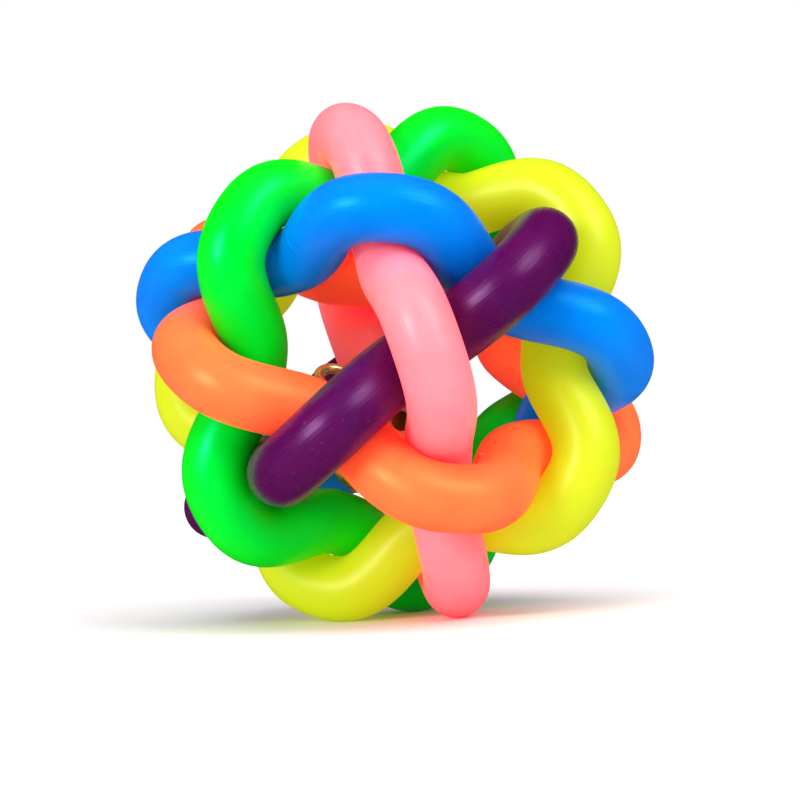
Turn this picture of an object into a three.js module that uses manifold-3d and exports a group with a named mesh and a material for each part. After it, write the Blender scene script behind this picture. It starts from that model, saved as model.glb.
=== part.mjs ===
// A hollow ball woven from six soft rubber strands, with a jingle bell loose inside.
//
// Six closed, wavy rings lie on the six great circles of an icosidodecahedron. Each ring runs
// over five of its crossings and under the other five, so every pair of rings is linked and the
// ball holds itself together. Twelve five-sided and twenty three-sided windows are left between
// the rings. The bell is two pressed shells, a wire eye and a steel pellet.
//
// Millimetres. The origin is the ball's centre. +Z is up, along one of its three-fold axes, so
// the ball stands on three strands. -Y is the front, with the pink strand over the purple one.

import * as THREE from 'three';
import { mergeVertices } from 'three/addons/utils/BufferGeometryUtils.js';
import Module from 'manifold-3d';

const wasm = await Module();
wasm.setup();

// ---- Ball ----

const BALL_DIAMETER = 70;
const STRAND_DIAMETER = 8;
const CROSSINGS_OVER = 5; // of the ten crossings of one ring
const WAVE_HEIGHT = 4.6; // how far a ring swings outwards over a crossing, and inwards under one
const WAVE_ROUNDING = -0.36; // third harmonic, which broadens the tops of the wave
const SIDE_SWAY = 0.52; // how far a ring leans sideways between its crossings
const STRAND_SIDES = 10;
const STRAND_STEPS = 100;
const ARC_LENGTH_DIVISIONS = 1000; // fine enough to space a strand's sections evenly

const STRAND_RADIUS = STRAND_DIAMETER / 2;
const RING_RADIUS = BALL_DIAMETER / 2 - STRAND_RADIUS - WAVE_HEIGHT - WAVE_ROUNDING;

// A three-fold axis lies between three near five-fold axes and three far ones.
const STEEP_TILT = Math.atan(3 - Math.sqrt(5));
const SHALLOW_TILT = Math.atan(3 + Math.sqrt(5));

const STRANDS = [
  { name: 'pink_strand', colour: 0xff9aa8, tilt: SHALLOW_TILT, turn: 0 },
  { name: 'green_strand', colour: 0x0ce62a, tilt: SHALLOW_TILT, turn: 120 },
  { name: 'yellow_strand', colour: 0xd9ee22, tilt: SHALLOW_TILT, turn: 240 },
  { name: 'blue_strand', colour: 0x0a78f0, tilt: STEEP_TILT, turn: 60 },
  { name: 'purple_strand', colour: 0x4c0c66, tilt: STEEP_TILT, turn: 180 },
  { name: 'orange_strand', colour: 0xff7b45, tilt: STEEP_TILT, turn: 300 },
];

// ---- Bell ----

const BELL_DROP = 8.4; // the bell's centre below the ball's centre, resting on the strands
const BELL_TILT = -53; // degrees about Y that lay the bell's own axis over to the left
const BELL_HEADING = -34; // degrees about Z that then swing its eye away from the front
const BELL_SPIN = 65; // degrees about the bell's own axis, which set how wide its eye looks
const SHELL_RADIUS = 9.2;
const SHELL_WALL = 0.6;
const SEAM_GAP = 0.3;
const SEAM_FLANGE = 0.5; // how far the upper shell's rim is turned out
const SEAM_FOLD_WALL = 0.5;
const SLOT_WIDTH = 1.1;
const SLOT_HOLE_RADIUS = 1.3;
const SLOT_HOLE_ANGLE = 68; // degrees from the bell's bottom pole
const SLOT_TURN = 47; // degrees about the bell's own axis from the eye's plane to the slots
const BELL_SEGMENTS = 24;
const BELL_ARC_STEPS = 6;

const EYE_WIRE_RADIUS = 0.75;
const EYE_HALF_WIDTH = 2.5; // from the bell's axis to the middle of each leg
const EYE_RISE = 4.4; // height of the wire's middle at the top of the eye, above the shell's crown
const EYE_FOOT_REACH = 4.4; // how far the clinched feet reach from the bell's axis
const EYE_FOOT_BEND = 3.2; // where each leg has turned outwards into its foot
const EYE_SIDES = 8;
const EYE_STEPS = 22;

const PELLET_RADIUS = 2.6;
const PELLET_GAP = 0.3;
const PELLET_MERIDIANS = 16;
const PELLET_PARALLELS = 10;

const SHELL_INNER_RADIUS = SHELL_RADIUS - SHELL_WALL;
const TOOL_LENGTH = 30; // cutting shapes reach well past what they cut
const PEG_SIDES = 12;

const WELD_TOLERANCE = 1e-4;
const degrees = THREE.MathUtils.degToRad;

// ---- Materials ----

const SATIN = { roughness: 0.38, metalness: 0 };
const PLATED = { roughness: 0.2, metalness: 1 };

function rubber(colour) {
  return new THREE.MeshStandardMaterial({ color: colour, ...SATIN });
}

function brass() {
  return new THREE.MeshStandardMaterial({ color: 0xc9a04a, ...PLATED });
}

function steel() {
  return new THREE.MeshStandardMaterial({ color: 0xb8bcc2, ...PLATED });
}

// ---- Solids ----

// Shared vertices make a swept or turned surface one closed mesh.
function weld(geometry) {
  geometry.deleteAttribute('normal');
  geometry.deleteAttribute('uv');
  return mergeVertices(geometry, WELD_TOLERANCE);
}

function shaded(geometry) {
  geometry.computeVertexNormals();
  return geometry;
}

function toSolid(geometry, matrix = new THREE.Matrix4()) {
  const welded = weld(geometry.clone().applyMatrix4(matrix));
  return new wasm.Manifold(new wasm.Mesh({
    numProp: 3,
    vertProperties: new Float32Array(welded.attributes.position.array),
    triVerts: new Uint32Array(welded.index.array),
  }));
}

function toGeometry(solid) {
  const mesh = solid.getMesh();
  const geometry = new THREE.BufferGeometry();
  geometry.setAttribute('position', new THREE.BufferAttribute(new Float32Array(mesh.vertProperties), 3));
  geometry.setIndex(new THREE.BufferAttribute(new Uint32Array(mesh.triVerts), 1));
  return shaded(geometry);
}

function namedMesh(name, geometry, material) {
  const mesh = new THREE.Mesh(geometry, material);
  mesh.name = name;
  return mesh;
}

// ---- Strands ----

// The middle line of one ring in its own plane. It starts at the front, on top of a crossing.
class WovenRing extends THREE.Curve {
  getPoint(t, target = new THREE.Vector3()) {
    const angle = 2 * Math.PI * t;
    const wave = CROSSINGS_OVER * angle;
    const radius = RING_RADIUS + WAVE_HEIGHT * Math.cos(wave) + WAVE_ROUNDING * Math.cos(3 * wave);
    return target.set(radius * Math.sin(angle), -radius * Math.cos(angle), SIDE_SWAY * Math.sin(wave));
  }
}

function strandGeometry() {
  const ring = new WovenRing();
  ring.arcLengthDivisions = ARC_LENGTH_DIVISIONS;
  return shaded(weld(new THREE.TubeGeometry(ring, STRAND_STEPS, STRAND_RADIUS, STRAND_SIDES, true)));
}

function strand({ name, colour, tilt, turn }) {
  const mesh = namedMesh(name, strandGeometry(), rubber(colour));
  mesh.rotation.set(0, tilt, degrees(turn), 'ZYX');
  return mesh;
}

// ---- Bell ----

// Points on a circle about the bell's centre, as radius from its axis and height. Angles are
// measured up from the seam plane.
function arc(radius, fromAngle, toAngle) {
  const points = [];
  for (let i = 0; i <= BELL_ARC_STEPS; i++) {
    const angle = fromAngle + (toAngle - fromAngle) * i / BELL_ARC_STEPS;
    points.push(new THREE.Vector2(radius * Math.cos(angle), radius * Math.sin(angle)));
  }
  return points;
}

function onAxis(height) {
  return new THREE.Vector2(0, height);
}

// LatheGeometry turns its profile about Y, so it is laid over to turn about Z.
function turned(profile) {
  return new THREE.LatheGeometry(profile, BELL_SEGMENTS).rotateX(Math.PI / 2);
}

const upperRim = SEAM_GAP / 2;
const flangeTop = upperRim + SHELL_WALL;
const flangeRadius = SHELL_RADIUS + SEAM_FLANGE;
const foldInnerRadius = flangeRadius + SEAM_GAP;
const foldOuterRadius = foldInnerRadius + SEAM_FOLD_WALL;
const foldUnderside = flangeTop + SEAM_GAP;
const foldTop = foldUnderside + SEAM_FOLD_WALL;

function upperShellProfile() {
  const outerStart = Math.asin(flangeTop / SHELL_RADIUS);
  const innerStart = Math.asin(upperRim / SHELL_INNER_RADIUS);
  return [
    ...arc(SHELL_INNER_RADIUS, Math.PI / 2, innerStart).map((p, i) => (i === 0 ? onAxis(p.y) : p)),
    new THREE.Vector2(flangeRadius, upperRim),
    new THREE.Vector2(flangeRadius, flangeTop),
    ...arc(SHELL_RADIUS, outerStart, Math.PI / 2).map((p, i) => (i === BELL_ARC_STEPS ? onAxis(p.y) : p)),
  ];
}

// The lower shell's rim is folded up and over the upper shell's flange, which locks the two.
function lowerShellProfile() {
  const outerEnd = -Math.asin(flangeTop / SHELL_RADIUS);
  const innerEnd = -Math.asin(upperRim / SHELL_INNER_RADIUS);
  const foldReach = Math.sqrt(SHELL_RADIUS ** 2 - foldUnderside ** 2) + SEAM_GAP;
  return [
    ...arc(SHELL_RADIUS, -Math.PI / 2, outerEnd).map((p, i) => (i === 0 ? onAxis(p.y) : p)),
    new THREE.Vector2(foldOuterRadius, -flangeTop),
    new THREE.Vector2(foldOuterRadius, foldTop),
    new THREE.Vector2(foldReach, foldTop),
    new THREE.Vector2(foldReach, foldUnderside),
    new THREE.Vector2(foldInnerRadius, foldUnderside),
    new THREE.Vector2(foldInnerRadius, -upperRim),
    ...arc(SHELL_INNER_RADIUS, innerEnd, -Math.PI / 2).map((p, i) => (i === BELL_ARC_STEPS ? onAxis(p.y) : p)),
  ];
}

// A peg along local Z, from the bell's centre outwards in the direction of `tilt` from +Z.
function peg(radius, tilt, sideways = 0) {
  const geometry = new THREE.CylinderGeometry(radius, radius, TOOL_LENGTH, PEG_SIDES);
  const matrix = new THREE.Matrix4()
    .makeRotationY(tilt)
    .multiply(new THREE.Matrix4().makeTranslation(sideways, 0, TOOL_LENGTH / 2))
    .multiply(new THREE.Matrix4().makeRotationX(Math.PI / 2));
  return toSolid(geometry, matrix);
}

// The upper shell has two holes in its crown for the legs of the eye.
function upperShellGeometry() {
  let solid = toSolid(turned(upperShellProfile()));
  for (const side of [-1, 1]) {
    solid = solid.subtract(peg(EYE_WIRE_RADIUS + SEAM_GAP, 0, side * EYE_HALF_WIDTH));
  }
  return toGeometry(solid);
}

// The lower shell has two crossed slots through its bottom pole. Each ends in a round hole.
function lowerShellGeometry() {
  let solid = toSolid(turned(lowerShellProfile()));
  const holeAngle = degrees(SLOT_HOLE_ANGLE);
  const slotLength = 2 * SHELL_RADIUS * Math.sin(holeAngle);
  const slotTop = -SHELL_RADIUS * Math.cos(holeAngle);
  const slot = new THREE.BoxGeometry(slotLength, SLOT_WIDTH, TOOL_LENGTH);
  for (const spin of [0, Math.PI / 2]) {
    const turn = new THREE.Matrix4().makeRotationZ(spin);
    const lower = new THREE.Matrix4().makeTranslation(0, 0, slotTop - TOOL_LENGTH / 2);
    solid = solid.subtract(toSolid(slot, turn.clone().multiply(lower)));
    for (const side of [-1, 1]) {
      const hole = peg(SLOT_HOLE_RADIUS, Math.PI + side * holeAngle);
      solid = solid.subtract(hole.rotate([0, 0, THREE.MathUtils.radToDeg(spin)]));
    }
  }
  return toGeometry(solid);
}

// A wire staple: an arch over the crown, two legs through the shell and two clinched feet.
function eyeGeometry() {
  const crown = Math.sqrt(SHELL_RADIUS ** 2 - EYE_HALF_WIDTH ** 2);
  const footOrbit = SHELL_INNER_RADIUS - SEAM_GAP - EYE_WIRE_RADIUS;
  const onOrbit = (x) => Math.sqrt(footOrbit ** 2 - x ** 2);
  const archShoulder = EYE_HALF_WIDTH * Math.SQRT1_2;
  const half = [
    [EYE_FOOT_REACH, onOrbit(EYE_FOOT_REACH)],
    [EYE_FOOT_BEND, onOrbit(EYE_FOOT_BEND)],
    [EYE_HALF_WIDTH, crown - SHELL_WALL / 2],
    [EYE_HALF_WIDTH, crown + EYE_RISE - EYE_HALF_WIDTH],
    [archShoulder, crown + EYE_RISE - EYE_HALF_WIDTH + archShoulder],
  ];
  const left = half.map(([x, z]) => new THREE.Vector3(-x, 0, z));
  const right = half.map(([x, z]) => new THREE.Vector3(x, 0, z)).reverse();
  const top = new THREE.Vector3(0, 0, crown + EYE_RISE);
  const path = new THREE.CatmullRomCurve3([...left, top, ...right], false, 'centripetal');
  const section = new THREE.Shape().absarc(0, 0, EYE_WIRE_RADIUS, 0, 2 * Math.PI, false);
  return shaded(weld(new THREE.ExtrudeGeometry(section, {
    steps: EYE_STEPS,
    curveSegments: EYE_SIDES / 2,
    bevelEnabled: false,
    extrudePath: path,
  })));
}

function bell() {
  const upper = namedMesh('bell_upper_shell', upperShellGeometry(), brass());
  const lower = namedMesh('bell_lower_shell', lowerShellGeometry(), brass());
  const eye = namedMesh('bell_eye', eyeGeometry(), brass());
  upper.rotation.z = degrees(BELL_SPIN);
  lower.rotation.z = degrees(BELL_SPIN + SLOT_TURN);
  eye.rotation.z = degrees(BELL_SPIN);
  const shells = new THREE.Group();
  shells.rotation.set(0, degrees(BELL_TILT), degrees(BELL_HEADING), 'ZYX');
  shells.add(upper, lower, eye);

  const pelletShape = new THREE.SphereGeometry(PELLET_RADIUS, PELLET_MERIDIANS, PELLET_PARALLELS);
  const pellet = namedMesh('bell_pellet', shaded(weld(pelletShape)), steel());
  pellet.position.z = -(SHELL_INNER_RADIUS - PELLET_RADIUS - PELLET_GAP);

  const whole = new THREE.Group();
  whole.position.z = -BELL_DROP;
  whole.add(shells, pellet);
  return whole;
}

const ball = new THREE.Group();
ball.add(...STRANDS.map(strand), bell());

export default ball;
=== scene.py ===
"""A ball woven from six soft rubber strands with a jingle bell inside, dressed around its CAD frame."""
import math

import bmesh
import bpy
import numpy as np
from mathutils import Matrix, Vector
from mathutils.kdtree import KDTree


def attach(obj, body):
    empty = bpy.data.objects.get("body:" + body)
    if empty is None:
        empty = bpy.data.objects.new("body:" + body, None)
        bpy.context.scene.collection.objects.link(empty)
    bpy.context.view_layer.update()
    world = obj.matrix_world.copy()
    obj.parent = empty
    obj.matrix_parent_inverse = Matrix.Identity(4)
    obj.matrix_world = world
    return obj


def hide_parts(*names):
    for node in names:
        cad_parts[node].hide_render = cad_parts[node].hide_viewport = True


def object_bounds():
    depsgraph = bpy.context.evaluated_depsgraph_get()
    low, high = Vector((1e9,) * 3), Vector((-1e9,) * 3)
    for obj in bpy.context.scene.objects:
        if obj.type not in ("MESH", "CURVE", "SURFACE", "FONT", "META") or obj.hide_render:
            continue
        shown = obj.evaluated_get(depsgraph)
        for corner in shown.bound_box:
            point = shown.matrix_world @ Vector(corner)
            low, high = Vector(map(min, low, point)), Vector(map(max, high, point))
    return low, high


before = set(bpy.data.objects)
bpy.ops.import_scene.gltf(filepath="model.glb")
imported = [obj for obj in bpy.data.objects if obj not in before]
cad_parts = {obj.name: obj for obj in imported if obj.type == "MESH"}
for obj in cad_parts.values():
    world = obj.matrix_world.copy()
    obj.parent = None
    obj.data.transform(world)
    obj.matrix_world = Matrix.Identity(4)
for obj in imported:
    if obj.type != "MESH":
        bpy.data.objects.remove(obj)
cad_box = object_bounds()

MM = 0.001

# ---- Sizes, in metres. The ball's own radius comes from the frame. ----

BALL_RADIUS = -cad_box[0].y
STRAND_RADIUS = 4.0 * MM
WAVE_HEIGHT = 4.6 * MM
WAVE_ROUNDING = -0.36 * MM
SIDE_SWAY = 0.52 * MM
CROSSINGS_OVER = 5
RING_RADIUS = BALL_RADIUS - STRAND_RADIUS - WAVE_HEIGHT - WAVE_ROUNDING
SWELL = 0.27 * MM  # the soft strands fill the gaps that the rigid frame keeps, and press together
CONTACT_SOFTNESS = 0.05 * MM
CLEARANCE = 1.5 * MM  # strands further apart than this need no flattening
HALVINGS = 4  # how often the search for the place halfway is narrowed
RING_STEPS = 600
RING_SIDES = 48
LINE_SAMPLES = 2400  # points on each neighbour's middle line
LINE_DETAIL = 20  # how many times finer a ring is drawn before it is divided evenly

# Each strand is closed into a ring by a glued butt joint, which leaves a short bead or a nub: how
# high it stands, and how far it reaches along the strand and around it.
BEAD = (0.14 * MM, 0.18 * MM, 1.50 * MM)
NUB = (0.65 * MM, 0.38 * MM, 0.38 * MM)
JOINT_REACH = 5  # in steps of the grid, on each side of the joint
JOINT_DETAIL = 5  # how many times finer the grid is there

STEEP_TILT = math.atan(3 - math.sqrt(5))
SHALLOW_TILT = math.atan(3 + math.sqrt(5))

# ---- Camera, low in front of the ball and a little to its left ----

VIEW_AZIMUTH = math.radians(-8.0)
VIEW_ELEVATION = math.radians(-2.2)
VIEW_ROLL = math.radians(-2.9)
VIEW_DISTANCE = 284.8 * MM
VIEW_LENS = 96.2
SENSOR_WIDTH = 36
VIEW_SHIFT = (0.009, -0.047)
NEAREST_SEEN = 10 * MM
FURTHEST_SEEN = 20


def add_object(name, data):
    thing = bpy.data.objects.new(name, data)
    bpy.context.collection.objects.link(thing)
    return thing


def add_camera():
    data = bpy.data.cameras.new("camera")
    data.lens = VIEW_LENS
    data.sensor_width = SENSOR_WIDTH
    data.shift_x, data.shift_y = VIEW_SHIFT
    data.clip_start = NEAREST_SEEN
    data.clip_end = FURTHEST_SEEN
    camera = add_object("camera", data)
    turn = Matrix.Rotation(VIEW_AZIMUTH, 4, "Z") @ Matrix.Rotation(math.pi / 2 - VIEW_ELEVATION, 4, "X")
    turn = turn @ Matrix.Rotation(VIEW_ROLL, 4, "Z")
    camera.matrix_world = turn @ Matrix.Translation((0, 0, VIEW_DISTANCE))
    bpy.context.scene.camera = camera


# ---- Nodes ----

class Nodes:
    """A short way to build one material's node tree."""

    def __init__(self, name):
        self.material = bpy.data.materials.new(name)
        self.material.use_nodes = True
        self.tree = self.material.node_tree
        self.tree.nodes.clear()
        self.shader = self.add("ShaderNodeBsdfPrincipled")
        output = self.add("ShaderNodeOutputMaterial")
        self.join(self.shader.outputs["BSDF"], output.inputs["Surface"])
        self.coordinates = self.add("ShaderNodeTexCoord").outputs["Object"]

    def add(self, kind, **settings):
        node = self.tree.nodes.new(kind)
        for key, value in settings.items():
            setattr(node, key, value)
        return node

    def join(self, source, target):
        self.tree.links.new(source, target)

    def stretched(self, scale, source=None):
        mapping = self.add("ShaderNodeMapping")
        mapping.inputs["Scale"].default_value = scale
        self.join(source or self.coordinates, mapping.inputs["Vector"])
        return mapping.outputs["Vector"]

    def noise(self, scale, detail=2.0, roughness=0.5, vector=None):
        node = self.add("ShaderNodeTexNoise")
        node.inputs["Scale"].default_value = scale
        node.inputs["Detail"].default_value = detail
        node.inputs["Roughness"].default_value = roughness
        self.join(vector or self.coordinates, node.inputs["Vector"])
        return node.outputs["Fac"]

    def ramp(self, source, low, high, low_value=0.0, high_value=1.0):
        node = self.add("ShaderNodeMapRange")
        node.inputs["From Min"].default_value = low
        node.inputs["From Max"].default_value = high
        node.inputs["To Min"].default_value = low_value
        node.inputs["To Max"].default_value = high_value
        self.join(source, node.inputs["Value"])
        return node.outputs["Result"]

    def sum(self, *sources):
        total = sources[0]
        for source in sources[1:]:
            node = self.add("ShaderNodeMath", operation="ADD")
            self.join(total, node.inputs[0])
            self.join(source, node.inputs[1])
            total = node.outputs[0]
        return total

    def product(self, first, second):
        node = self.add("ShaderNodeMath", operation="MULTIPLY")
        self.join(first, node.inputs[0])
        if isinstance(second, float):
            node.inputs[1].default_value = second
        else:
            self.join(second, node.inputs[1])
        return node.outputs[0]

    def mix_colour(self, factor, first, second):
        node = self.add("ShaderNodeMix", data_type="RGBA")
        self.join(factor, node.inputs["Factor"])
        for socket, value in ((node.inputs["A"], first), (node.inputs["B"], second)):
            if isinstance(value, tuple):
                socket.default_value = (*value, 1)
            else:
                self.join(value, socket)
        return node.outputs["Result"]

    def bump(self, height, distance, strength):
        node = self.add("ShaderNodeBump")
        node.inputs["Strength"].default_value = strength
        node.inputs["Distance"].default_value = distance
        self.join(height, node.inputs["Height"])
        self.join(node.outputs["Normal"], self.shader.inputs["Normal"])


# ---- Materials ----

# How many features each noise has in a metre, and the values between which it fades in.
CLOUD_SCALE = 180
CLOUD_FADE = (0.35, 0.7)
WEAR_SCALE = 260
WEAR_FADE = (0.42, 0.62)
DUST_SCALE = 4200
DUST_FADE = (0.80, 0.84)
STREAK_FADE = (0.35, 0.65)
GRAIN_SCALE = 3600
TARNISH_SCALE = 240
TARNISH_FADE = (0.45, 0.75)
DRAWING_SCALE = (900, 900, 5000)
DRAWING_FADE = (0.3, 0.7)

RUBBER_RELIEF = 0.03 * MM
GRAIN_DEPTH = 0.3  # as a share of the rubber's relief
WORN_ROUGHNESS = 0.05  # added where the rubber is worn
DUST_TINT = 0.6  # how much of the rubber's colour the dust on it keeps
DUST_WHITE = 0.35  # how much white is added to that
SUBSURFACE_DEPTH = 3.0 * MM
METAL_RELIEF = 0.004 * MM
DRAWING_DEPTH = 0.3
DRAWING_ROUGHNESS = 0.06  # added across the drawing marks
TARNISH_ROUGHNESS = 0.1  # added where the metal is tarnished

# A strand's finish: how often its fine streaks repeat along and around it, how rough it is between
# and on them, and how strongly pale dust, streaks and relief show.
CLEAN = dict(streak_scale=(110, 2600, 1), roughness=(0.34, 0.42), dust=0.05, streaks=0.3, relief=0.25)
SCUFFED = dict(streak_scale=(500, 7000, 1), roughness=(0.22, 0.42), dust=0.45, streaks=0.7, relief=0.5)


def rubber(name, colour, deep, shine, painted_glow, gloss=0.5, finish=CLEAN):
    """Soft, satin, brightly dyed rubber. `deep` is its colour where the dye is denser. Its glow is
    painted light: a constant emission that lifts its shaded parts, standing in for the light that its
    fluorescent dye gives back and that bounces into its shade."""
    nodes = Nodes(name)
    shader = nodes.shader
    body = nodes.mix_colour(nodes.ramp(nodes.noise(CLOUD_SCALE, 3), *CLOUD_FADE), colour, deep)
    along = nodes.add("ShaderNodeUVMap", uv_map="strand").outputs["UV"]
    streaks = nodes.noise(1.0, 4, 0.6, nodes.stretched(finish["streak_scale"], along))
    worn = nodes.ramp(nodes.noise(WEAR_SCALE, 2), *WEAR_FADE)
    marks = nodes.product(nodes.ramp(nodes.noise(DUST_SCALE, 0), *DUST_FADE), worn)
    pale = tuple(min(1.0, DUST_TINT * channel + DUST_WHITE) for channel in colour)
    dusty = nodes.mix_colour(nodes.product(marks, finish["dust"]), body, pale)
    nodes.join(dusty, shader.inputs["Base Color"])
    streaked = nodes.ramp(streaks, *STREAK_FADE, *finish["roughness"])
    dull = nodes.sum(streaked, nodes.product(worn, WORN_ROUGHNESS))
    nodes.join(dull, shader.inputs["Roughness"])
    grain = nodes.product(nodes.noise(GRAIN_SCALE, 2), GRAIN_DEPTH)
    nodes.bump(nodes.sum(grain, nodes.product(streaks, finish["streaks"])), RUBBER_RELIEF, finish["relief"])
    constants = {
        "IOR": 1.5,
        "Coat Weight": 0.03,
        "Coat Roughness": 0.25,
        "Specular IOR Level": gloss,
        "Specular Tint": (*shine, 1),
        "Subsurface Weight": 0.4,
        "Subsurface Radius": colour,
        "Subsurface Scale": SUBSURFACE_DEPTH,
        # painted glow: a constant emission that lifts the rubber's shaded parts, standing in for
        # fluorescent and bounced light
        "Emission Color": (*painted_glow, 1),
        "Emission Strength": 1.0,
    }
    for socket, value in constants.items():
        shader.inputs[socket].default_value = value
    return nodes.material


def plated(name, colour, tarnish, roughness, metal=1.0):
    """Plated metal with faint drawing marks, patchy tarnish and fine wear. `metal` below 1 leaves
    it a little of the even colour of a dulled surface."""
    nodes = Nodes(name)
    shader = nodes.shader
    patches = nodes.ramp(nodes.noise(TARNISH_SCALE, 4, 0.6), *TARNISH_FADE)
    nodes.join(nodes.mix_colour(patches, colour, tarnish), shader.inputs["Base Color"])
    fine = nodes.noise(1.0, 2, 0.5, nodes.stretched(DRAWING_SCALE))
    drawn = nodes.ramp(fine, *DRAWING_FADE, roughness, roughness + DRAWING_ROUGHNESS)
    dull = nodes.sum(drawn, nodes.product(patches, TARNISH_ROUGHNESS))
    nodes.join(dull, shader.inputs["Roughness"])
    nodes.bump(fine, METAL_RELIEF, DRAWING_DEPTH)
    shader.inputs["Metallic"].default_value = metal
    return nodes.material


# How each strand looks. `shine` tints its highlights, and `gloss` is how strong they are.
# Its glow is a painted glow: a constant emission that lifts the strand's shaded parts.
COLOURS = {
    "pink_strand": dict(
        colour=(0.90, 0.25, 0.29),
        deep=(0.90, 0.22, 0.25),
        shine=(1.0, 0.9, 0.9),
        painted_glow=(0.45, 0.01, 0.02),
    ),
    "green_strand": dict(
        colour=(0.0, 0.78, 0.003),
        deep=(0.0, 0.72, 0.002),
        shine=(0.0, 1.0, 1.0),
        painted_glow=(0.0, 0.03, 0.0),
        gloss=0.75,
    ),
    "yellow_strand": dict(
        colour=(0.41, 0.50, 0.012),
        deep=(0.43, 0.47, 0.008),
        shine=(1.0, 1.0, 0.5),
        painted_glow=(0.25, 0.27, 0.0),
    ),
    "blue_strand": dict(
        colour=(0.0, 0.20, 0.80),
        deep=(0.0, 0.18, 0.74),
        shine=(0.0, 0.9, 1.0),
        painted_glow=(0.0, 0.0, 0.03),
        gloss=0.7,
    ),
    "purple_strand": dict(
        colour=(0.088, 0.0005, 0.068),
        deep=(0.070, 0.0005, 0.066),
        shine=(0.85, 0.45, 1.0),
        painted_glow=(0.0, 0.0, 0.0),
        finish=SCUFFED,
    ),
    "orange_strand": dict(
        colour=(0.95, 0.182, 0.046),
        deep=(0.95, 0.155, 0.036),
        shine=(1.0, 0.95, 0.35),
        painted_glow=(0.45, 0.0, 0.008),
    ),
}

# How each ring's plane is tilted about Y and then turned about Z, in radians and in degrees.
PLACES = {
    "pink_strand": (SHALLOW_TILT, 0),
    "green_strand": (SHALLOW_TILT, 120),
    "yellow_strand": (SHALLOW_TILT, 240),
    "blue_strand": (STEEP_TILT, 60),
    "purple_strand": (STEEP_TILT, 180),
    "orange_strand": (STEEP_TILT, 300),
}

# Where each strand's joint lies: degrees along the ring from its foremost crossing, degrees around
# the strand from its outermost side, and what the glue left.
JOINTS = {
    "pink_strand": (240, 20, BEAD),
    "green_strand": (30, 330, BEAD),
    "yellow_strand": (324, 15, BEAD),
    "blue_strand": (266.4, 42, BEAD),
    "purple_strand": (21, 350, BEAD),
    "orange_strand": (90.6, 208, NUB),
}

# ---- Strands ----

def placing(name):
    tilt, turn = PLACES[name]
    return Matrix.Rotation(math.radians(turn), 4, "Z") @ Matrix.Rotation(tilt, 4, "Y")


def ring_line(count):
    """The middle line of one ring in its own plane, starting at the front on top of a crossing."""
    angle = np.linspace(0, 2 * np.pi, count, endpoint=False)
    wave = CROSSINGS_OVER * angle
    radius = RING_RADIUS + WAVE_HEIGHT * np.cos(wave) + WAVE_ROUNDING * np.cos(3 * wave)
    return np.stack((radius * np.sin(angle), -radius * np.cos(angle), SIDE_SWAY * np.sin(wave)), axis=1)


def unit(vectors):
    return vectors / np.linalg.norm(vectors, axis=1, keepdims=True)


def evenly(line, count):
    """The same closed line with points at equal spacing, and its length."""
    closed = np.vstack((line, line[:1]))
    travelled = np.concatenate(([0], np.cumsum(np.linalg.norm(np.diff(closed, axis=0), axis=1))))
    wanted = np.linspace(0, travelled[-1], count, endpoint=False)
    return np.stack([np.interp(wanted, travelled, closed[:, k]) for k in range(3)], axis=1), travelled[-1]


def neighbour_tree():
    """Every point of the other five rings' middle lines, seen from the pink ring's own plane."""
    home = placing("pink_strand").inverted()
    line = np.c_[ring_line(LINE_SAMPLES), np.ones(LINE_SAMPLES)]
    tree = KDTree((len(PLACES) - 1) * LINE_SAMPLES)
    index = 0
    for name in PLACES:
        if name == "pink_strand":
            continue
        for point in line @ np.array(home @ placing(name)).T:
            tree.insert(point[:3], index)
            index += 1
    tree.balance()
    return tree


def ring_frame():
    """Points along the ring with the directions outwards and sideways at each."""
    line, length = evenly(ring_line(LINE_DETAIL * RING_STEPS), RING_STEPS)
    tangent = unit(np.roll(line, -1, axis=0) - np.roll(line, 1, axis=0))
    outward = unit(line - np.sum(line * tangent, axis=1, keepdims=True) * tangent)
    sideways = np.cross(tangent, outward)
    return line, outward, sideways, length


def pressed_radius(line, directions):
    """The strand's radius all over, flattened where it presses against a neighbour.

    Two equal soft strands meet halfway, so the surface stops where both middle lines are
    equally far away. The change from round to flat is softened."""
    tree = neighbour_tree()
    full = STRAND_RADIUS + SWELL
    radius = np.full(directions.shape[:2], full)
    for i, middle in enumerate(line):
        if tree.find(middle)[2] > 2 * full + CLEARANCE:
            continue
        for j, direction in enumerate(directions[i]):
            away = tree.find(middle + full * direction)[2]
            limit = away if away >= full else halfway(tree, middle, direction, full)
            softened = np.logaddexp(-full / CONTACT_SOFTNESS, -limit / CONTACT_SOFTNESS)
            radius[i, j] = -CONTACT_SOFTNESS * softened
    return radius


def halfway(tree, middle, direction, reach):
    """How far out along the direction both middle lines are about equally far away."""
    for _ in range(HALVINGS):
        away = tree.find(middle + reach * direction)[2]
        if away >= reach:
            break
        reach = (reach + away) / 2
    return reach


def refined(count, centre):
    """Places 0 to count, one apart, and closer together round the centre; they wrap round."""
    close = centre + np.arange(-JOINT_REACH * JOINT_DETAIL, JOINT_REACH * JOINT_DETAIL + 1) / JOINT_DETAIL
    return np.unique(np.round(np.concatenate((np.arange(count), close % count)), 6))


def sampled(grid, rows, columns):
    """The values of a grid that wraps both ways, at fractional rows and columns."""
    row, column = rows.astype(int), columns.astype(int)
    down, across = (rows - row)[:, None, None], (columns - column)[None, :, None]
    near, far = grid[row], grid[(row + 1) % len(grid)]
    blend = (1 - down) * near + down * far
    sides = grid.shape[1]
    return (1 - across) * blend[:, column] + across * blend[:, (column + 1) % sides]


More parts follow.
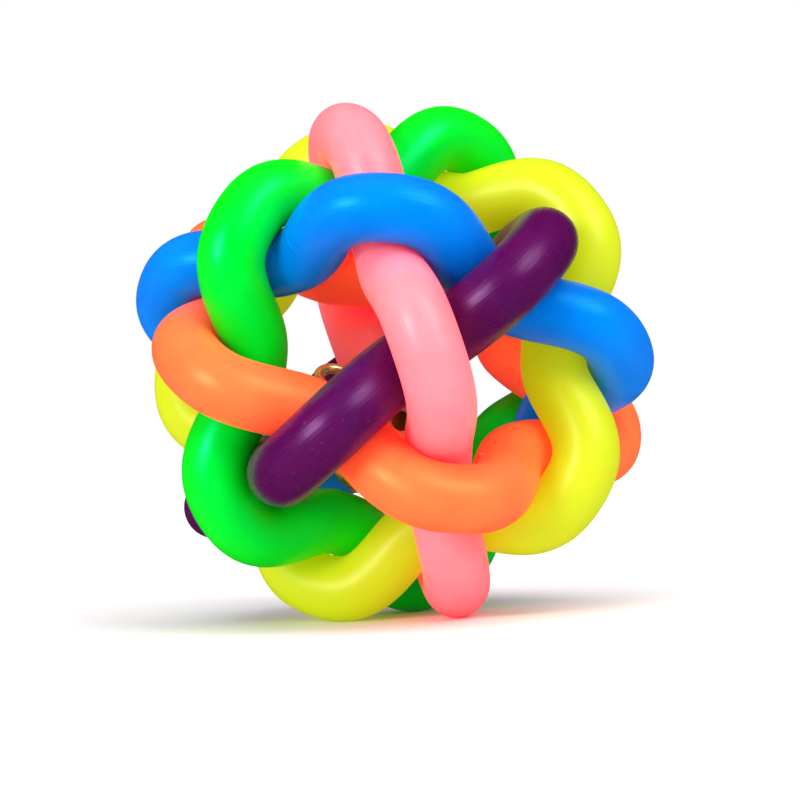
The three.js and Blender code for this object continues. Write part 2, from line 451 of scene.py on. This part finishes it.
def joint_relief(rows, columns, joint_row, side, glue, length):
    """How far the glue of a joint stands out from the strand all over."""
    height, reach_along, reach_around = glue
    along = (rows - joint_row) * length / RING_STEPS
    apart = (columns / RING_SIDES - side / 360 + 0.5) % 1 - 0.5
    around = 2 * math.pi * STRAND_RADIUS * apart
    return height * np.exp(-(along[:, None] / reach_along) ** 2 - (around[None, :] / reach_around) ** 2)


def closed_tube(name, points, rows, columns, length):
    """A closed tube from a grid of points, with a map of how far along and around each one is."""
    steps, sides = points.shape[:2]
    along = length * np.append(rows, RING_STEPS) / RING_STEPS
    around = 2 * math.pi * STRAND_RADIUS * np.append(columns, RING_SIDES) / RING_SIDES
    mesh = bpy.data.meshes.new(name)
    faces = []
    for i in range(steps):
        for j in range(sides):
            k, m = (i + 1) % steps, (j + 1) % sides
            faces.append((i * sides + j, i * sides + m, k * sides + m, k * sides + j))
    mesh.from_pydata(points.reshape(-1, 3).tolist(), [], faces)
    layer = mesh.uv_layers.new(name="strand")
    corners = []
    for u0, u1 in zip(along, along[1:]):
        for v0, v1 in zip(around, around[1:]):
            corners += [u0, v0, u0, v1, u1, v1, u1, v0]
    layer.data.foreach_set("uv", corners)
    mesh.polygons.foreach_set("use_smooth", [True] * len(mesh.polygons))
    mesh.update()
    return add_object(name, mesh)


def add_strands():
    line, outward, sideways, length = ring_frame()
    around = np.linspace(0, 2 * np.pi, RING_SIDES, endpoint=False)
    directions = (np.cos(around)[None, :, None] * outward[:, None, :]
                  + np.sin(around)[None, :, None] * sideways[:, None, :])
    radius = pressed_radius(line, directions)
    points = line[:, None, :] + radius[:, :, None] * directions
    for name, look in COLOURS.items():
        turn, side, glue = JOINTS[name]
        joint_row = round(RING_STEPS * turn / 360)
        rows = refined(RING_STEPS, joint_row)
        columns = refined(RING_SIDES, round(RING_SIDES * side / 360))
        relief = joint_relief(rows, columns, joint_row, side, glue, length)
        skin = sampled(points, rows, columns) + relief[:, :, None] * sampled(directions, rows, columns)
        piece = closed_tube(name.replace("strand", "rubber_strand"), skin, rows, columns, length)
        piece.data.transform(placing(name))
        piece.data.materials.append(rubber(name.replace("strand", "rubber"), **look))
        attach(piece, "woven_ball")
        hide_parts(name)


# ---- Bell ----

BELL_DROP = 8.4 * MM
BELL_TILT = math.radians(-53)
BELL_HEADING = math.radians(-34)
BELL_SPIN = math.radians(65)
SLOT_TURN = math.radians(47)
SHELL_RADIUS = 9.2 * MM
SHELL_WALL = 0.6 * MM
SHELL_INNER_RADIUS = SHELL_RADIUS - SHELL_WALL
SEAM_GAP = 0.3 * MM
SEAM_FLANGE = 0.5 * MM
FOLD_WALL = 0.5 * MM
SLOT_WIDTH = 1.1 * MM
SLOT_HOLE_RADIUS = 1.3 * MM
SLOT_HOLE_ANGLE = math.radians(68)
EYE_WIRE_RADIUS = 0.75 * MM
EYE_HALF_WIDTH = 2.5 * MM
EYE_RISE = 4.4 * MM
EYE_FOOT_REACH = 4.4 * MM
EYE_FOOT_BEND = 3.2 * MM
PELLET_RADIUS = 2.6 * MM
PELLET_GAP = 0.3 * MM
BELL_TURNS = 128
BELL_ARC_STEPS = 28
CUTTER_LENGTH = 30 * MM
PEG_SIDES = 40
UPPER_CORNER = 0.12 * MM
LOWER_CORNER = 0.15 * MM
GENTLE_BEND = 0.8  # cosine of the largest turn of a profile that is left unrounded
CREASE_ANGLE = math.radians(35)  # edges sharper than this stay crisp
EYE_ARCH_POINTS = 9
EYE_CURVE_ORDER = 3
EYE_CURVE_STEPS = 12
EYE_WIRE_ROUNDNESS = 8
PELLET_DETAIL = 5
PELLET_FLAT = 0.985 * PELLET_RADIUS
PELLET_WOBBLE = 0.006 * PELLET_RADIUS
PELLET_LEAN = 0.6

BELL_PLACE = (Matrix.Translation((0, 0, -BELL_DROP)) @ Matrix.Rotation(BELL_HEADING, 4, "Z")
              @ Matrix.Rotation(BELL_TILT, 4, "Y") @ Matrix.Rotation(BELL_SPIN, 4, "Z"))

UPPER_RIM = SEAM_GAP / 2
FLANGE_TOP = UPPER_RIM + SHELL_WALL
FLANGE_RADIUS = SHELL_RADIUS + SEAM_FLANGE
FOLD_INNER_RADIUS = FLANGE_RADIUS + SEAM_GAP
FOLD_OUTER_RADIUS = FOLD_INNER_RADIUS + FOLD_WALL
FOLD_UNDERSIDE = FLANGE_TOP + SEAM_GAP
FOLD_TOP = FOLD_UNDERSIDE + FOLD_WALL


def arc(radius, first, last):
    """Points round the bell's centre as (distance from its axis, height)."""
    angles = np.linspace(first, last, BELL_ARC_STEPS + 1)
    return [(radius * math.cos(a), radius * math.sin(a)) for a in angles]


def rounded(corner, before, after, size):
    """Three points in place of a sharp corner of a profile."""
    corner, before, after = Vector(corner), Vector(before), Vector(after)
    start = corner + (before - corner).normalized() * size
    end = corner + (after - corner).normalized() * size
    middle = (start + end) / 4 + corner / 2
    return [tuple(start), tuple(middle), tuple(end)]


def soften(profile, size):
    """The profile with each of its sharp corners rounded; its two ends lie on the axis."""
    out = [profile[0]]
    for before, corner, after in zip(profile, profile[1:], profile[2:]):
        first = (Vector(corner) - Vector(before)).normalized()
        second = (Vector(after) - Vector(corner)).normalized()
        out += rounded(corner, before, after, size) if first.dot(second) < GENTLE_BEND else [corner]
    return out + [profile[-1]]


def turned(name, profile):
    """A closed body turned about Z from a profile whose first and last points are on the axis."""
    rings = profile[1:-1]
    vertices = [(0, 0, profile[0][1])]
    for radius, height in rings:
        for k in range(BELL_TURNS):
            turn = 2 * math.pi * k / BELL_TURNS
            vertices.append((radius * math.cos(turn), radius * math.sin(turn), height))
    vertices.append((0, 0, profile[-1][1]))
    last = len(vertices) - 1
    faces = []
    for k in range(BELL_TURNS):
        m = (k + 1) % BELL_TURNS
        faces.append((0, 1 + m, 1 + k))
        for i in range(len(rings) - 1):
            low, high = 1 + i * BELL_TURNS, 1 + (i + 1) * BELL_TURNS
            faces.append((low + k, low + m, high + m, high + k))
        top = 1 + (len(rings) - 1) * BELL_TURNS
        faces.append((top + k, top + m, last))
    mesh = bpy.data.meshes.new(name)
    mesh.from_pydata(vertices, [], faces)
    shape = bmesh.new()
    shape.from_mesh(mesh)
    bmesh.ops.recalc_face_normals(shape, faces=shape.faces)
    shape.to_mesh(mesh)
    shape.free()
    return add_object(name, mesh)


def upper_profile():
    inner = arc(SHELL_INNER_RADIUS, math.pi / 2, math.asin(UPPER_RIM / SHELL_INNER_RADIUS))
    outer = arc(SHELL_RADIUS, math.asin(FLANGE_TOP / SHELL_RADIUS), math.pi / 2)
    flange = [(FLANGE_RADIUS, UPPER_RIM), (FLANGE_RADIUS, FLANGE_TOP)]
    return [(0, SHELL_INNER_RADIUS)] + inner[1:] + flange + outer[:-1] + [(0, SHELL_RADIUS)]


def lower_profile():
    outer = arc(SHELL_RADIUS, -math.pi / 2, -math.asin(FLANGE_TOP / SHELL_RADIUS))
    inner = arc(SHELL_INNER_RADIUS, -math.asin(UPPER_RIM / SHELL_INNER_RADIUS), -math.pi / 2)
    fold_reach = math.sqrt(SHELL_RADIUS ** 2 - FOLD_UNDERSIDE ** 2) + SEAM_GAP
    fold = [
        (FOLD_OUTER_RADIUS, -FLANGE_TOP),
        (FOLD_OUTER_RADIUS, FOLD_TOP),
        (fold_reach, FOLD_TOP),
        (fold_reach, FOLD_UNDERSIDE),
        (FOLD_INNER_RADIUS, FOLD_UNDERSIDE),
        (FOLD_INNER_RADIUS, -UPPER_RIM),
    ]
    return [(0, -SHELL_RADIUS)] + outer[1:] + fold + inner[:-1] + [(0, -SHELL_INNER_RADIUS)]


def cut(piece, make_cutter, place):
    """Cuts a primitive out of the piece. `make_cutter` fills a bmesh with it."""
    shape = bmesh.new()
    make_cutter(shape)
    mesh = bpy.data.meshes.new("cutter")
    shape.to_mesh(mesh)
    shape.free()
    mesh.transform(place)
    cutter = add_object("cutter", mesh)
    modifier = piece.modifiers.new("cut", "BOOLEAN")
    modifier.operation = "DIFFERENCE"
    modifier.solver = "EXACT"
    modifier.object = cutter
    apply_modifiers(piece)
    bpy.data.objects.remove(cutter)


def apply_modifiers(piece):
    depsgraph = bpy.context.evaluated_depsgraph_get()
    mesh = bpy.data.meshes.new_from_object(piece.evaluated_get(depsgraph))
    piece.modifiers.clear()
    piece.data = mesh


def peg(radius):
    def fill(shape):
        bmesh.ops.create_cone(shape, cap_ends=True, segments=PEG_SIDES, radius1=radius, radius2=radius,
                              depth=CUTTER_LENGTH, matrix=Matrix.Translation((0, 0, CUTTER_LENGTH / 2)))
    return fill


def slot_box(shape):
    bmesh.ops.create_cube(shape, size=1)
    length = 2 * SHELL_RADIUS * math.sin(SLOT_HOLE_ANGLE)
    bmesh.ops.scale(shape, vec=(length, SLOT_WIDTH, CUTTER_LENGTH), verts=shape.verts)


def shade_by_angle(mesh):
    mesh.polygons.foreach_set("use_smooth", [True] * len(mesh.polygons))
    mesh.set_sharp_from_angle(angle=CREASE_ANGLE)


def upper_shell():
    piece = turned("brass_upper_shell", soften(upper_profile(), UPPER_CORNER))
    for side in (-1, 1):
        cut(piece, peg(EYE_WIRE_RADIUS + SEAM_GAP), Matrix.Translation((side * EYE_HALF_WIDTH, 0, 0)))
    return piece


def lower_shell():
    piece = turned("brass_lower_shell", soften(lower_profile(), LOWER_CORNER))
    slot_top = -SHELL_RADIUS * math.cos(SLOT_HOLE_ANGLE)
    for quarter in (0, math.pi / 2):
        spin = Matrix.Rotation(quarter, 4, "Z")
        cut(piece, slot_box, spin @ Matrix.Translation((0, 0, slot_top - CUTTER_LENGTH / 2)))
        for side in (-1, 1):
            lean = Matrix.Rotation(math.pi + side * SLOT_HOLE_ANGLE, 4, "Y")
            cut(piece, peg(SLOT_HOLE_RADIUS), spin @ lean)
    return piece


def eye():
    """The wire staple: an arch over the crown, two legs through the shell, two clinched feet."""
    crown = math.sqrt(SHELL_RADIUS ** 2 - EYE_HALF_WIDTH ** 2)
    orbit = SHELL_INNER_RADIUS - SEAM_GAP - EYE_WIRE_RADIUS
    arch_base = crown + EYE_RISE - EYE_HALF_WIDTH
    half = [
        (EYE_FOOT_REACH, math.sqrt(orbit ** 2 - EYE_FOOT_REACH ** 2)),
        (EYE_FOOT_BEND, math.sqrt(orbit ** 2 - EYE_FOOT_BEND ** 2)),
        (EYE_HALF_WIDTH, crown - SHELL_WALL / 2),
        (EYE_HALF_WIDTH, arch_base),
    ]
    arch = [(EYE_HALF_WIDTH * math.cos(a), arch_base + EYE_HALF_WIDTH * math.sin(a))
            for a in np.linspace(0, math.pi, EYE_ARCH_POINTS)[1:-1]]
    route = half + arch + [(-x, z) for x, z in reversed(half)]
    curve = bpy.data.curves.new("brass_eye", "CURVE")
    curve.dimensions = "3D"
    spline = curve.splines.new("NURBS")
    spline.points.add(len(route) - 1)
    for point, (x, z) in zip(spline.points, route):
        point.co = (x, 0, z, 1)
    spline.use_endpoint_u = True
    spline.order_u = EYE_CURVE_ORDER
    spline.resolution_u = EYE_CURVE_STEPS
    curve.bevel_depth = EYE_WIRE_RADIUS
    curve.bevel_resolution = EYE_WIRE_ROUNDNESS
    curve.use_fill_caps = True
    drawn = add_object("drawn_eye", curve)
    mesh = bpy.data.meshes.new_from_object(drawn.evaluated_get(bpy.context.evaluated_depsgraph_get()))
    bpy.data.objects.remove(drawn)
    return add_object("brass_eye", mesh)


def pellet():
    """A tumbled steel ball, a little out of round, with two small flats."""
    shape = bmesh.new()
    bmesh.ops.create_icosphere(shape, subdivisions=PELLET_DETAIL, radius=PELLET_RADIUS)
    for vertex in shape.verts:
        direction = vertex.co.normalized()
        wave = math.sin(5 * direction.x + 2) * math.cos(4 * direction.y)
        vertex.co -= direction * abs(PELLET_WOBBLE * wave)
        vertex.co.z = max(min(vertex.co.z, PELLET_FLAT), -PELLET_FLAT)
    mesh = bpy.data.meshes.new("steel_pellet")
    shape.to_mesh(mesh)
    shape.free()
    drop = BELL_DROP + SHELL_INNER_RADIUS - PELLET_RADIUS - PELLET_GAP
    mesh.transform(Matrix.Translation((0, 0, -drop)) @ Matrix.Rotation(PELLET_LEAN, 4, "X"))
    return add_object("steel_pellet", mesh)


def dress(piece, node, body, material):
    shade_by_angle(piece.data)
    piece.data.materials.clear()
    piece.data.materials.append(material)
    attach(piece, body)
    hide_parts(node)


def add_bell():
    brass = plated("bell_brass", (0.92, 0.64, 0.26), (0.72, 0.46, 0.16), 0.20, metal=0.8)
    wire = plated("eye_brass", (0.92, 0.58, 0.30), (0.72, 0.38, 0.18), 0.22, metal=0.8)
    steel = plated("pellet_steel", (0.62, 0.63, 0.65), (0.42, 0.40, 0.38), 0.18)
    upper, lower, loop = upper_shell(), lower_shell(), eye()
    lower.data.transform(Matrix.Rotation(SLOT_TURN, 4, "Z"))
    for piece in (upper, lower, loop):
        piece.data.transform(BELL_PLACE)
    dress(upper, "bell_upper_shell", "bell", brass)
    dress(lower, "bell_lower_shell", "bell", brass)
    dress(loop, "bell_eye", "bell", wire)
    dress(pellet(), "bell_pellet", "pellet", steel)


# ---- Stage ----

WORLD_LIGHT = 0.42  # how much the white surroundings light the object; the camera sees them as white
WORLD_SHEEN = 0.03  # how bright they are in the object's own reflections
FLOOR_WIDTH = 6.0
FLOOR_CLOUD_SCALE = 30

# Distant lights: degrees round from the front and up, strength, how wide each looks in degrees,
# and whether the object mirrors it.
SUNS = {
    "key": dict(azimuth=-50, elevation=14, strength=1.9, softness=24, mirrored=True),
    "lamp": dict(azimuth=33, elevation=38, strength=1.6, softness=36, mirrored=True),
    "ceiling": dict(azimuth=-15, elevation=70, strength=1.8, softness=60, mirrored=False),
}


def add_sun(name, azimuth, elevation, strength, softness, mirrored):
    """A distant light, wide enough to act as a large soft lamp."""
    data = bpy.data.lights.new(name, "SUN")
    data.energy = strength
    data.angle = math.radians(softness)
    light = add_object(name, data)
    light.visible_glossy = mirrored
    turn, lift = math.radians(azimuth), math.radians(elevation)
    source = Vector((math.sin(turn) * math.cos(lift), -math.cos(turn) * math.cos(lift), math.sin(lift)))
    light.rotation_euler = source.to_track_quat("Z", "Y").to_euler()


def add_world():
    world = bpy.data.worlds.new("studio")
    bpy.context.scene.world = world
    world.use_nodes = True
    tree = world.node_tree
    background = tree.nodes["Background"]
    background.inputs["Color"].default_value = (1, 1, 1, 1)
    path = tree.nodes.new("ShaderNodeLightPath")
    lit = blend_values(tree, path.outputs["Is Glossy Ray"], WORLD_LIGHT, WORLD_SHEEN)
    seen = blend_values(tree, path.outputs["Is Camera Ray"], WORLD_LIGHT, 1.0)
    tree.links.new(lit, seen.node.inputs["To Min"])
    tree.links.new(seen, background.inputs["Strength"])


def blend_values(tree, switch, when_off, when_on):
    node = tree.nodes.new("ShaderNodeMapRange")
    node.inputs["To Min"].default_value = when_off
    node.inputs["To Max"].default_value = when_on
    tree.links.new(switch, node.inputs["Value"])
    return node.outputs["Result"]


def add_floor():
    mesh = bpy.data.meshes.new("floor")
    reach = FLOOR_WIDTH / 2
    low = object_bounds()[0].z
    corners = [(-reach, -reach, low), (reach, -reach, low), (reach, reach, low), (-reach, reach, low)]
    mesh.from_pydata(corners, [], [(0, 1, 2, 3)])
    floor = add_object("floor", mesh)
    nodes = Nodes("pale_floor")
    tone = nodes.mix_colour(nodes.noise(FLOOR_CLOUD_SCALE, 3), (0.93, 0.93, 0.93), (0.95, 0.95, 0.95))
    nodes.join(tone, nodes.shader.inputs["Base Color"])
    nodes.shader.inputs["Roughness"].default_value = 0.9
    nodes.shader.inputs["Specular IOR Level"].default_value = 0.1
    mesh.materials.append(nodes.material)
    floor.visible_glossy = False


def add_lights():
    add_world()
    for name, sun in SUNS.items():
        add_sun(name, **sun)


add_camera()
add_strands()
add_bell()
add_lights()
add_floor()
bpy.context.scene.view_settings.view_transform = "Standard"
